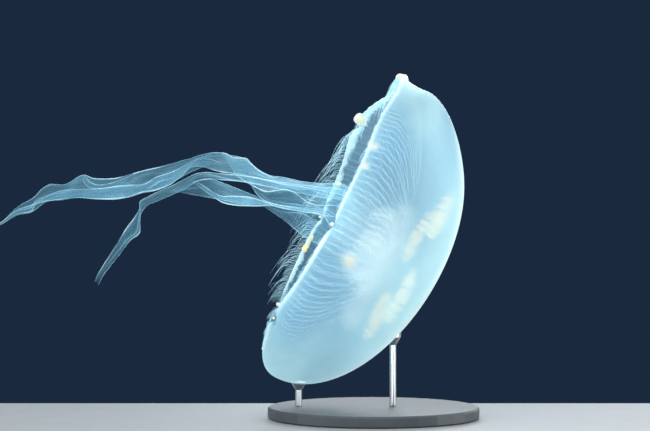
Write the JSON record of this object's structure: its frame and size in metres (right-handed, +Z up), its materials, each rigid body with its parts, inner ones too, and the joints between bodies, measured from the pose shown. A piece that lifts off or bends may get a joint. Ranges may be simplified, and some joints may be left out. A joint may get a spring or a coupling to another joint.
{
  "type": "moon jellyfish",
  "caption": "Still, life-size moon jellyfish: domed bell lying on its side, fringed rim, long folded oral arms trailing behind, on a base with rods.",
  "frame": {"origin": "middle of the stand base's underside", "axes": "+X the way the bell swims, in plan, along the arms' length; +Z up, away from the base; +Y to the bell's far side"},
  "size_m": [0.3162, 0.1978, 0.2162],
  "materials": {
    "bell_jelly": "clear milky blue jelly, wet and smooth",
    "margin_jelly": "thin pale jelly edge, wet",
    "sense_organ": "pale knob with an orange core",
    "tentacle": "fine whitish threads",
    "gonad": "frilled pale orange-pink tissue under the jelly",
    "arm_jelly": "clear blue folded veil with whiter lips",
    "stand_base": "satin slate",
    "stand_rod": "brushed"
  },
  "bodies": {
    "root": {"bell_crown": "bell_jelly", "bell_1": "bell_jelly", "lappet_1": "margin_jelly", "rhopalium_1": "sense_organ", "tentacles_1": "tentacle", "bell_2": "bell_jelly", "lappet_2": "margin_jelly", "rhopalium_2": "sense_organ", "tentacles_2": "tentacle", "bell_3": "bell_jelly", "lappet_3": "margin_jelly", "rhopalium_3": "sense_organ", "tentacles_3": "tentacle", "bell_4": "bell_jelly", "lappet_4": "margin_jelly", "rhopalium_4": "sense_organ", "tentacles_4": "tentacle", "bell_5": "bell_jelly", "lappet_5": "margin_jelly", "rhopalium_5": "sense_organ", "tentacles_5": "tentacle", "bell_6": "bell_jelly", "lappet_6": "margin_jelly", "rhopalium_6": "sense_organ", "tentacles_6": "tentacle", "bell_7": "bell_jelly", "lappet_7": "margin_jelly", "rhopalium_7": "sense_organ", "tentacles_7": "tentacle", "bell_8": "bell_jelly", "lappet_8": "margin_jelly", "rhopalium_8": "sense_organ", "tentacles_8": "tentacle", "gonad_1": "gonad", "gonad_2": "gonad", "gonad_3": "gonad", "gonad_4": "gonad", "manubrium": "arm_jelly", "arm_upper_1": "arm_jelly", "arm_upper_2": "arm_jelly", "arm_upper_3": "arm_jelly", "arm_upper_4": "arm_jelly", "arm_near_1": "arm_jelly", "arm_near_2": "arm_jelly", "arm_near_3": "arm_jelly", "arm_lower_1": "arm_jelly", "arm_lower_2": "arm_jelly", "arm_far_1": "arm_jelly", "arm_far_2": "arm_jelly", "stand_base": "stand_base", "stand_rod_1": "stand_rod", "stand_rod_2": "stand_rod"}
  },
  "joints": []
}
